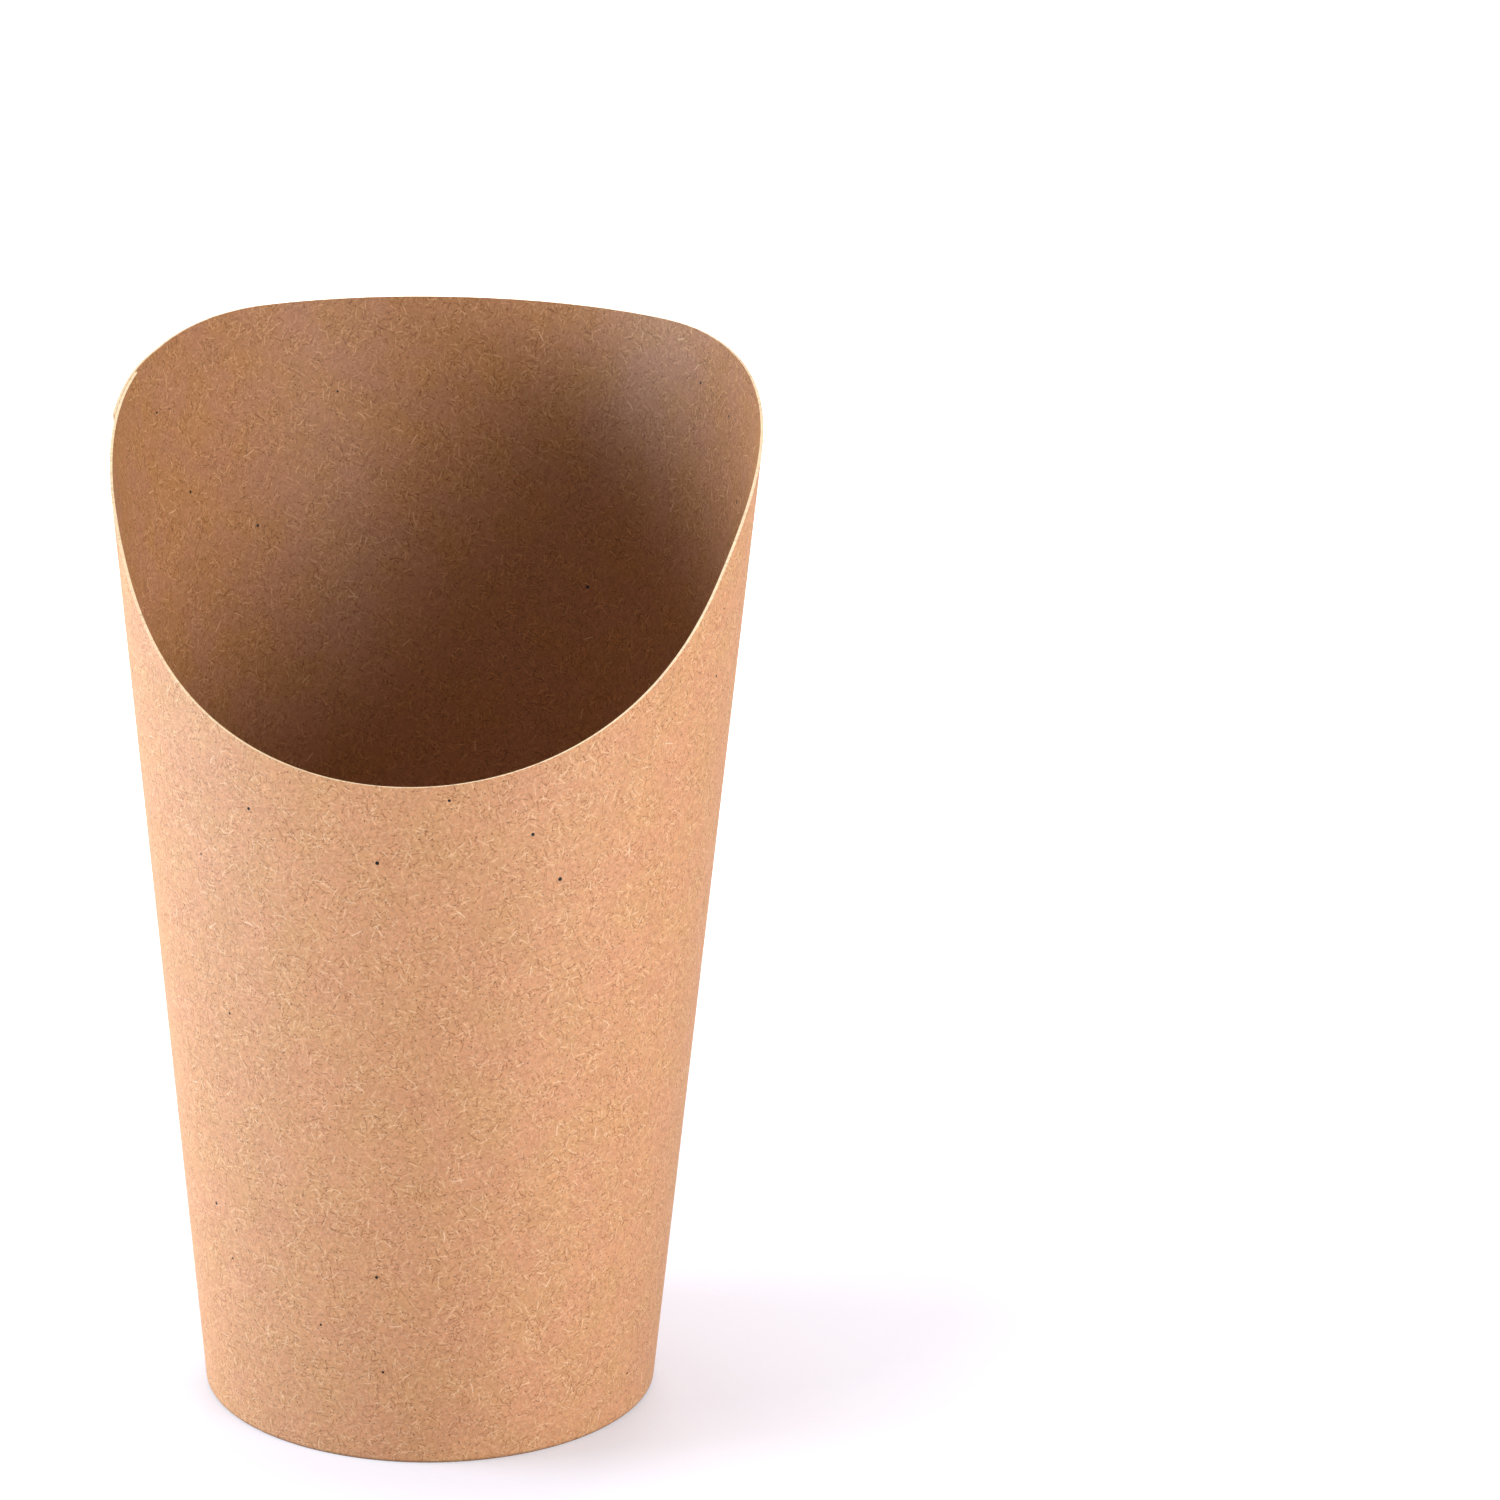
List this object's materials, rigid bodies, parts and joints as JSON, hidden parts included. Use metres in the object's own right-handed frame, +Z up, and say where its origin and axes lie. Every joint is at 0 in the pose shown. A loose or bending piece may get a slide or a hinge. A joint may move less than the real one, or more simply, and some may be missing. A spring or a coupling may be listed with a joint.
{
  "type": "paper fry cup",
  "caption": "Tall conical takeaway cup of brown kraft board with a scooped rim, a low front lip, a glued side lap and a recessed base, for fries and snacks.",
  "frame": {"origin": "on the foot plane, under the middle of the bounding box; the cone's axis stands at y = -2.0 mm", "axes": "+Z up out of the mouth, -Y to the low front lip, +X to the right as seen from the front"},
  "size_m": [0.0836, 0.081, 0.138],
  "materials": {
    "kraft_wall": "matt unbleached kraft board",
    "kraft_base": "matt unbleached kraft board"
  },
  "bodies": {
    "root": {"side_wall": "kraft_wall", "base_disc": "kraft_base"}
  },
  "joints": []
}
